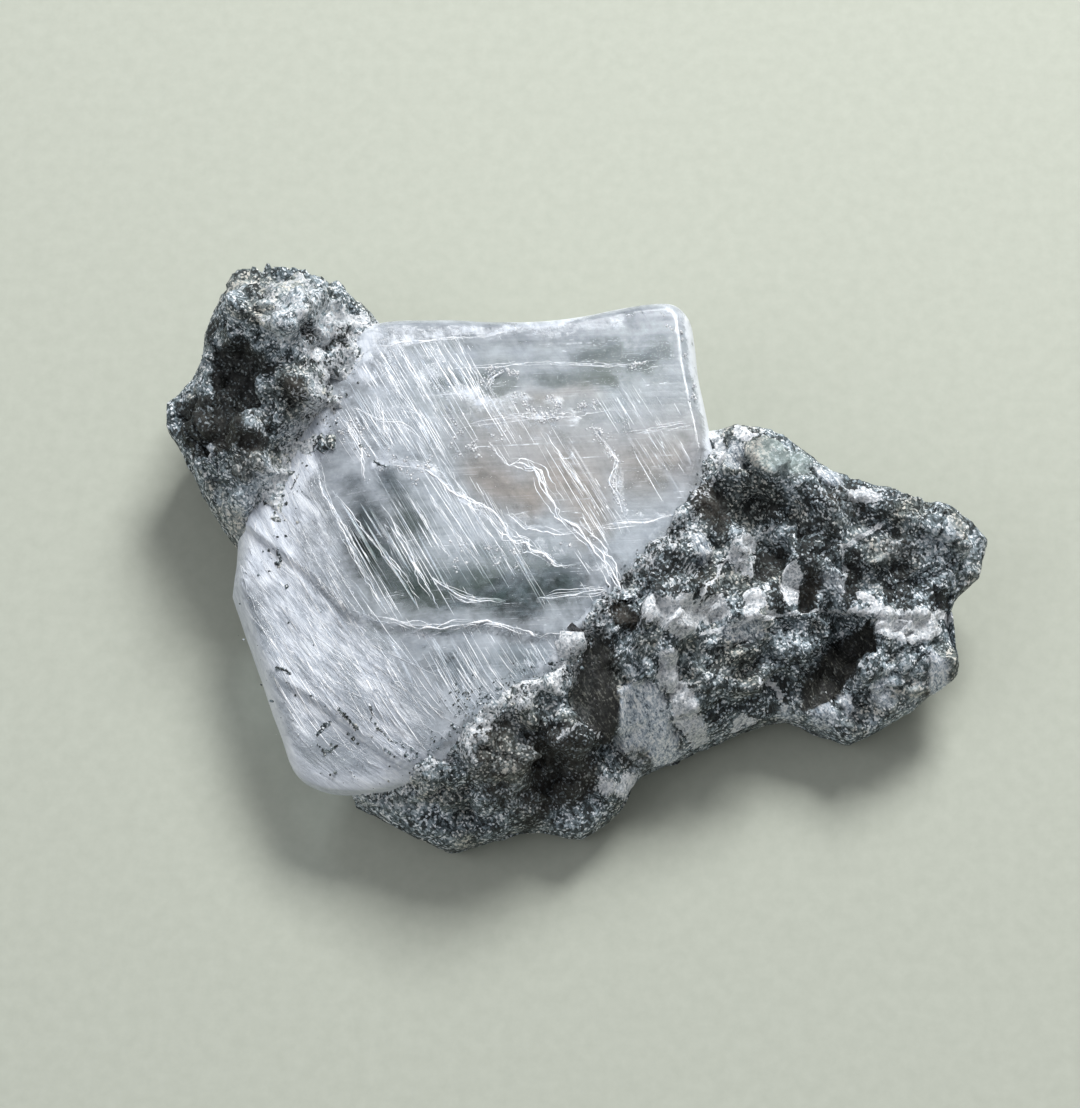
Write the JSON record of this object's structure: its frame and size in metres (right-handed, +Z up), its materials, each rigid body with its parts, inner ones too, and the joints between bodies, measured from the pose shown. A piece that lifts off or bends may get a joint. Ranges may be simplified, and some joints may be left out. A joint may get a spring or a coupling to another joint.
{
  "type": "selenite crystal on matrix",
  "caption": "Clear tabular selenite crystal, milky at its weathered side, gripped by lumps of dark granular matrix. Lies flat as a hand specimen.",
  "frame": {"origin": "middle of the base that the specimen lies on", "axes": "+X along its longest extent, from the knob to the free end of the ledge; +Y towards its back edge; +Z up through the crystal's broad face"},
  "size_m": [0.0847, 0.059, 0.0266],
  "materials": {
    "selenite": "clear to milky, satin cleavage face",
    "matrix": "rough granular, dark grey with pale veins"
  },
  "bodies": {
    "root": {"selenite_crystal": "selenite", "matrix_knob": "matrix", "matrix_ledge": "matrix"}
  },
  "joints": []
}
